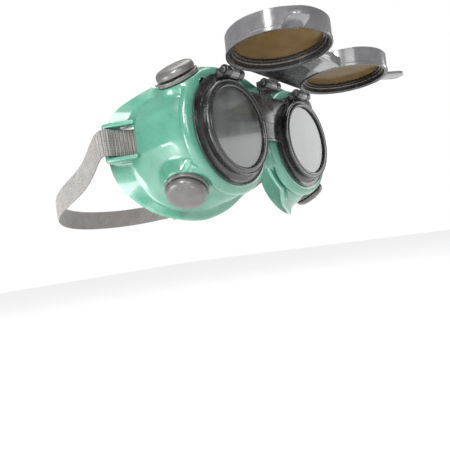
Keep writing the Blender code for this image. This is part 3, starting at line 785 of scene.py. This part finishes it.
def make_fixed_front():
    shapes = [placed(tube_shape(), to_front(hand * EYE_X)) for hand in SIDES.values()]
    shapes += web_shapes()
    for centre_x in (-EYE_X, 0.0, EYE_X):
        shapes += ear_shapes(centre_x)
    housing = merged("housing_body", shapes, BLACK)
    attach(housing, FIXED)
    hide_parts("lens_housing")
    for side, hand in SIDES.items():
        ring = put(f"ring_body_{side}", placed(ring_shape(), to_front(hand * EYE_X)), BLACK)
        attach(ring, FIXED)
        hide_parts(f"fixed_retaining_ring_{side}")


# --- flip front -------------------------------------------------------------------------------

FLIP_BACK = 0.6 * MM
CUP_DEPTH = 11.2 * MM
CUP_FRONT = FLIP_BACK + CUP_DEPTH
TAB_STEPS = 24
TAB_ANGLE = -46
GAP_STEPS = 180


def cup_shape():
    """A shade cup: a plain wall, a lip round its front opening and a rim at its back."""
    outline = [
        (22.8 * MM, CUP_FRONT), (26.3 * MM, CUP_FRONT), (27.1 * MM, CUP_FRONT - 0.8 * MM),
        (27.1 * MM, FLIP_BACK + 2.1 * MM), (27.5 * MM, FLIP_BACK + 1.8 * MM),
        (27.5 * MM, FLIP_BACK), (26.5 * MM, FLIP_BACK), (26.2 * MM, FLIP_BACK + 0.5 * MM),
        (25.3 * MM, FLIP_BACK + 0.6 * MM),
        (25.3 * MM, CUP_FRONT - 1.2 * MM), (22.8 * MM, CUP_FRONT - 1.2 * MM),
    ]
    return lathe(rounded([(r, h, 0) for r, h in outline], 0.3 * MM, 3), FINE_TURN)


def tab_shape(hand):
    """A thumb tab: a half-round tongue in the plane of the cup's rim."""
    reach, half = 34.4 * MM, 5.6 * MM
    corners = [(25.5 * MM, half), (25.5 * MM, -half)]
    for step in range(TAB_STEPS + 1):
        angle = -math.pi / 2 + math.pi * step / TAB_STEPS
        corners.append((reach + half * math.cos(angle), half * math.sin(angle)))
    tab = plate(corners, FLIP_BACK + 0.1 * MM, FLIP_BACK + 1.9 * MM, 0.5 * MM)
    placed(tab, Matrix.Rotation(math.radians(TAB_ANGLE), 4, "Z"))
    placed(tab, to_front(0))
    if hand < 0:
        placed(tab, Matrix.Scale(-1, 4, (1, 0, 0)))
    return placed(tab, Matrix.Translation((hand * EYE_X, 0, 0)))


def painted_shade_face(face):
    """Faces inside a cup, on its rear rim and on the back of the bridge plate take the darker
    black: painted shade on the same plastic as the rest of the frame.
    """
    place, looks_back = face.center, face.normal.y > 0.6
    radius = math.hypot(abs(place.x) - EYE_X, place.z)
    inside = radius < 26.0 * MM and place.y > -CUP_FRONT + 0.5 * MM
    plate_back = abs(place.x) < 15 * MM and place.z > -1.0 * MM
    return inside or (looks_back and (plate_back or radius < 27.6 * MM))


def make_flip_frame():
    shapes = [placed(cup_shape(), to_front(hand * EYE_X)) for hand in SIDES.values()]
    shapes += [tab_shape(hand) for hand in SIDES.values()]
    shapes.append(web_between(26.4 * MM, 2.5 * MM, 26.3 * MM, -3.4 * MM, -1.0 * MM, 0.4 * MM))
    shapes.append(web_between(26.4 * MM, -10.5 * MM, 3.5 * MM, -7.0 * MM, -0.8 * MM, 0.9 * MM))
    for centre_x in (-EYE_X, 0.0, EYE_X):
        knuckle = pin(KNUCKLE_RADIUS, 6.4 * MM, KNUCKLE_EDGE)
        shapes.append(placed(knuckle, along((1, 0, 0), (centre_x, HINGE.y, HINGE.z))))
        shapes.append(block((centre_x - 3.1 * MM, -3.0 * MM, 25.4 * MM),
                            (centre_x + 3.1 * MM, -0.9 * MM, HINGE.z), KNUCKLE_EDGE))
    lifted = merged("flip_body", shapes, FLIP_PAINTED_LIT)
    # The second material, the darker housing black, goes on the cup insides, rear rims and plate
    # back as painted shade.
    lifted.data.materials.append(BLACK)
    for face in lifted.data.polygons:
        face.material_index = int(painted_shade_face(face))
    raise_up(lifted)
    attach(lifted, LIFTED)
    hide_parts("flip_frame")


def open_ring(section):
    """A ring of the given section, with a small gap at its lowest point."""
    shape = bmesh.new()
    rows = []
    for step in range(GAP_STEPS + 1):
        angle = math.radians(-88 + 356 * step / GAP_STEPS)
        rows.append([
            shape.verts.new((point.x * math.cos(angle), point.x * math.sin(angle), point.y))
            for point in section])
    for near, far in zip(rows, rows[1:]):
        for j in range(len(section)):
            k = (j + 1) % len(section)
            shape.faces.new((near[j], far[j], far[k], near[k]))
    shape.faces.new(rows[0])
    shape.faces.new(rows[-1])
    return shape


def flat_section(inner, outer, low, high, radius):
    corners = [(inner, low, 0), (outer, low, 0), (outer, high, 0), (inner, high, 0)]
    return rounded(corners, radius, 3)


def make_split_rings():
    """Each lens pack's sprung wire, and the black seat ring that it presses on the lens."""
    seat_low, seat_high = FLIP_BACK + 4.0 * MM, FLIP_BACK + 5.4 * MM
    for side, hand in SIDES.items():
        wire = flat_section(23.9 * MM, 25.1 * MM, FLIP_BACK + 2.8 * MM, seat_low, 0.45 * MM)
        seat = flat_section(22.6 * MM, 25.2 * MM, seat_low, seat_high, 0.3 * MM)
        made = ((f"split_wire_{side}", open_ring(wire), SPRING, "spring_wire"),
                (f"seat_ring_{side}", lathe(seat, FINE_TURN), BLACK, "black_plastic"))
        for name, shape, matter, slot in made:
            ring = raise_up(put(name, placed(shape, to_front(hand * EYE_X)), matter))
            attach(ring, LIFTED)
        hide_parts(f"split_ring_{side}")


# --- strap ------------------------------------------------------------------------------------

STRAP_WIDTH = 15.0 * MM
STRAP_HALF = 0.8 * MM
STRAP_SPAN_STEPS = 30
ACROSS_STEPS = 12
GATHERED = (28 * MM, 42 * MM)
RIPPLE_PITCH = 2.1 * MM
RIPPLE = 0.16 * MM
CRUMPLE = 0.25 * MM
STRAP_SHARP_ANGLE = 60


def strap_route():
    """The strap's centre line, from inside the left temple round the head to the right one."""
    corners = [
        (67.6, 45, 1.7), (68.6, 48.5, 1.7), (71.8, 52.6, 1.7), (76.6, 55.4, 1.7),
        (81.2, 57.2, 1.7),
        (84.8, 57.3, 1.7), (87.0, 60.0, 1.6), (86.9, 64, 1.0), (86.0, 70, -2.0), (84.8, 77, -6.5),
        (83.2, 86, -10.8), (81.6, 96, -13.8), (78.8, 111, -16.6), (74.8, 126, -18.6),
        (69.2, 141, -20.4), (61.2, 156, -22.0), (49.8, 170, -23.6), (35.2, 181.5, -25.0),
        (18.2, 188.6, -25.8), (0.0, 191, -26.0),
    ]
    half = [Vector(corner) * MM for corner in corners]
    return smooth(half + [mirror_x(point) for point in reversed(half[:-1])],
                  STRAP_SPAN_STEPS)


def axes_at(route, i):
    """The strap's own directions at a point: along it, through it and across it."""
    ahead = (route[min(i + 1, len(route) - 1)] - route[max(i - 1, 0)]).normalized()
    through = ahead.cross(Vector((0, 0, 1))).normalized()
    return ahead, through, through.cross(ahead).normalized()


def gather(distance):
    """How far the elastic is bunched up: fully at the loops, not at all past them."""
    return 1 - ease(*GATHERED, distance)


def strap_row(shape, route, i, run, bunched):
    """One row of points round the strap, each with its place along and across the weave."""
    _, through, across = axes_at(route, i)
    centre = route[i]
    shares = [-1 + 2 * k / ACROSS_STEPS for k in range(ACROSS_STEPS + 1)]
    width = STRAP_WIDTH / 2 * (1 - 0.006 * (1 - bunched))
    row = []
    for face in (1, -1):
        for share in shares if face > 0 else reversed(shares):
            rim = math.sqrt(max(0.0, 1 - abs(share) ** 6))
            wave = math.sin(2 * math.pi * (run + 0.5 * MM * share) / RIPPLE_PITCH)
            crumple = noise.noise(Vector((run * 350, share * 2, face))) * CRUMPLE
            ripple = bunched * (RIPPLE * wave + crumple * 0.6)
            deep = STRAP_HALF * (0.35 + 0.65 * rim) * 0.92 + ripple * rim
            point = centre + across * width * share + through * face * deep
            row.append((shape.verts.new(point), run, width * (share + 2 * (face < 0))))
    return row


def make_strap():
    """The webbing along its route, with its weave's coordinates. Gives the route."""
    route = strap_route()
    runs = [0.0]
    for before, after in zip(route, route[1:]):
        runs.append(runs[-1] + (after - before).length)
    shape = bmesh.new()
    weave = shape.loops.layers.uv.new("weave")
    rows = []
    for i, run in enumerate(runs):
        rows.append(strap_row(shape, route, i, run, gather(min(run, runs[-1] - run))))
    count = len(rows[0])
    for near, far in zip(rows, rows[1:]):
        for j in range(count):
            k = (j + 1) % count
            corners = (near[j], far[j], far[k], near[k])
            face = shape.faces.new([corner[0] for corner in corners])
            for loop, corner in zip(face.loops, corners):
                loop[weave].uv = (corner[1], corner[2])
    for row in (rows[0], rows[-1]):
        shape.faces.new([corner[0] for corner in row])
    strap = put("strap_webbing", shape, WEB, STRAP_SHARP_ANGLE)
    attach(strap, FIXED)
    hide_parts("head_strap")
    return route


def make_slider(route):
    """The adjuster: a rounded frame with a middle bar, round the strap."""
    low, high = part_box("strap_slider")
    middle = (low + high) / 2
    place = min(range(len(route)), key=lambda i: (route[i] - middle).length)
    ahead, through, across = axes_at(route, place)
    turn = Matrix((through, ahead, across)).transposed().to_4x4()
    where = Matrix.Translation(route[place]) @ turn
    reach, half_run, half_width = 2.5 * MM, 6.0 * MM, 10.0 * MM
    slot, end_bar, middle_bar, side_bar = 1.3 * MM, 2.4 * MM, 1.1 * MM, 1.9 * MM
    shapes = []
    for hand in (-1, 1):
        for start, end in ((-half_run, -half_run + end_bar), (half_run - end_bar, half_run),
                           (-middle_bar, middle_bar)):
            faces = sorted((hand * slot, hand * reach))
            shapes.append(block((faces[0], start, -half_width), (faces[1], end, half_width),
                                0.5 * MM))
        ends = sorted((hand * (half_width - side_bar), hand * half_width))
        shapes.append(block((-reach, -half_run, ends[0]), (reach, half_run, ends[1]), 0.7 * MM))
    for shape in shapes:
        placed(shape, where)
    slider = merged("slider_frame", shapes, GREY)
    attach(slider, FIXED)
    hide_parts("strap_slider")


# --- CAD pieces that stay ---------------------------------------------------------------------

def dress_kept_nodes():
    """Gives the lenses, gaskets and hinge pins, which keep their CAD mesh, their materials."""
    kept = {}
    for side in SIDES:
        kept[f"clear_lens_{side}"] = CLEAR
        kept[f"lens_gasket_{side}"] = RUBBER
        kept[f"cover_lens_{side}"] = COVER
        kept[f"shade_lens_{side}"] = SHADE
    for place in ("right", "centre", "left"):
        kept[f"hinge_pin_{place}"] = STEEL
    for name, matter in kept.items():
        node = frame["nodes"][name]
        node.data.materials.clear()
        node.data.materials.append(matter)


# --- camera, floor and lights -----------------------------------------------------------------

SENSOR_WIDTH = 36.0
FOCAL_LENGTH = 36.47
CAMERA_PLACE = (-0.241497, -0.145080, -0.064711)
CAMERA_RIGHT = (0.63183, -0.76213, -0.14123)
CAMERA_UP = (0.05248, -0.13973, 0.98880)
FLOOR_HALF = 4.0
FLOOR_CELLS = 40
MIDDLE = (0, 0.03, 0)
ORIGIN = (0, 0, 0)
WORLD_LIGHT = 0.36
WORLD_SEEN = 1.0
# Each light's name, place, aim, width and height in metres, and power in watts.
LIGHTS = (
    ("key", (-0.753, -0.235, 0.47), (-0.04, -0.03, 0.05), (0.10, 0.50), 8.0),
    ("front", (-0.60, -0.70, 0.25), MIDDLE, (0.40, 0.40), 3.0),
    ("left_fill", (-0.50, 0.22, -0.13), (-0.06, 0.05, -0.02), (0.25, 0.25), 2.2),
    ("left_lens_glow", (0.809, -0.377, 0.117), ORIGIN, (0.19, 0.40), 0.75),
    ("right_lens_glow", (0.718, -0.541, 0.047), ORIGIN, (0.19, 0.34), 0.45),
    ("top", (0.1, 0.1, 0.9), MIDDLE, (0.7, 0.7), 5.0),
)


def make_camera():
    camera = bpy.data.objects.new("camera", bpy.data.cameras.new("camera"))
    bpy.context.scene.collection.objects.link(camera)
    camera.data.sensor_width = SENSOR_WIDTH
    camera.data.lens = FOCAL_LENGTH
    camera.data.clip_start = 0.01
    camera.data.dof.use_dof = False
    right, up = Vector(CAMERA_RIGHT), Vector(CAMERA_UP)
    back = right.cross(up)
    turn = Matrix((right, up, back)).transposed().to_4x4()
    camera.matrix_world = Matrix.Translation(CAMERA_PLACE) @ turn
    bpy.context.scene.camera = camera


def make_floor():
    shape = bmesh.new()
    bmesh.ops.create_grid(shape, x_segments=FLOOR_CELLS, y_segments=FLOOR_CELLS,
                          size=FLOOR_HALF)
    bmesh.ops.translate(shape, vec=(0, 0, FLOOR_Z), verts=shape.verts)
    floor = put("floor", shape, floor_paint())


def area_light(name, place, target, size, power):
    data = bpy.data.lights.new(name, "AREA")
    data.shape = "RECTANGLE"
    data.size, data.size_y = size
    data.energy = power
    light = bpy.data.objects.new(name, data)
    bpy.context.scene.collection.objects.link(light)
    light.location = place
    light.visible_camera = False
    aim = Vector(target) - Vector(place)
    light.rotation_euler = aim.to_track_quat("-Z", "Y").to_euler()


def make_world():
    """A white studio: plain white to the camera, dimmer as a light."""
    world = bpy.data.worlds.new("studio")
    world.use_nodes = True
    tree = world.node_tree
    seen = tree.nodes.new("ShaderNodeLightPath").outputs["Is Camera Ray"]
    level = tree.nodes.new("ShaderNodeMapRange")
    level.inputs["To Min"].default_value = WORLD_LIGHT
    level.inputs["To Max"].default_value = WORLD_SEEN
    tree.links.new(seen, level.inputs["Value"])
    tree.links.new(level.outputs["Result"], tree.nodes["Background"].inputs["Strength"])
    tree.nodes["Background"].inputs["Color"].default_value = (1, 1, 1, 1)
    bpy.context.scene.world = world
    bpy.context.scene.view_settings.view_transform = "Standard"


def main():
    for obj in list(bpy.data.objects):
        if obj.type in ("LIGHT", "CAMERA") or obj.name == "Cube":
            bpy.data.objects.remove(obj)
    make_camera()
    make_floor()
    for light in LIGHTS:
        area_light(*light)
    make_world()
    make_mask()
    make_vents()
    make_fixed_front()
    make_flip_frame()
    make_split_rings()
    make_slider(make_strap())
    dress_kept_nodes()


main()
